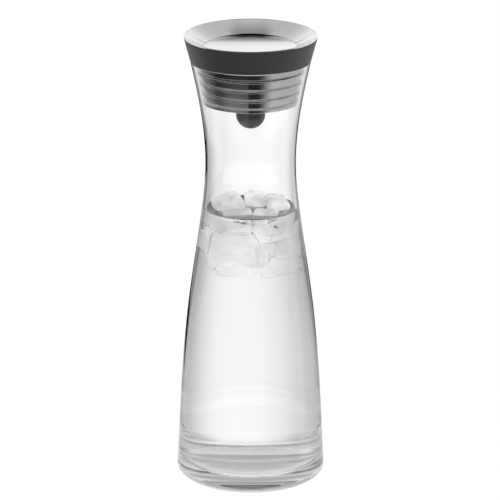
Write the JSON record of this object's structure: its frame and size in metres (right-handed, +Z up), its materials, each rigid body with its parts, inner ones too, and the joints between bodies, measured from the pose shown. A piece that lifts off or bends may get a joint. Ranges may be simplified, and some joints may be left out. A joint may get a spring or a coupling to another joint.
{
  "type": "water carafe",
  "caption": "Waisted clear glass water carafe with a ribbed neck stopper, a black pouring collar and a dished steel lid that rocks open on a hanging weight.",
  "frame": {"origin": "centre of the base on the surface that the carafe stands on", "axes": "+Z up along the carafe's axis, -Y towards the side that it pours from, +X to the right seen from there"},
  "size_m": [0.0952, 0.0952, 0.29],
  "materials": {
    "clear_glass": "clear, fire-polished",
    "grey_silicone": "satin, silver grey",
    "black_silicone": "fine matte",
    "black_plastic": "satin moulded",
    "polished_steel": "mirror polished stainless steel",
    "turned_steel": "turned stainless steel"
  },
  "bodies": {
    "carafe": {"glass_body": "clear_glass"},
    "stopper": {"neck_seal": "grey_silicone", "stopper_core": "black_plastic", "guide_spider": "black_plastic", "pouring_collar": "black_silicone"},
    "tipping_lid": {"steel_dish": "polished_steel", "dish_carrier": "black_plastic", "dish_stud": "turned_steel", "pendulum_stem": "turned_steel", "weight_core": "turned_steel", "weight_shell_lower": "black_plastic", "weight_shell_upper": "black_plastic"}
  },
  "joints": [
    {"name": "stopper_pull", "type": "slide", "parent": "carafe", "child": "stopper", "axis": [0, 0, 1], "range_m": [0, 0.05]},
    {"name": "lid_tip", "type": "hinge", "parent": "stopper", "child": "tipping_lid", "pos_m": [0, 0.0417, 0.2892], "axis": [-1, 0, 0], "range_deg": [0, 10]}
  ]
}
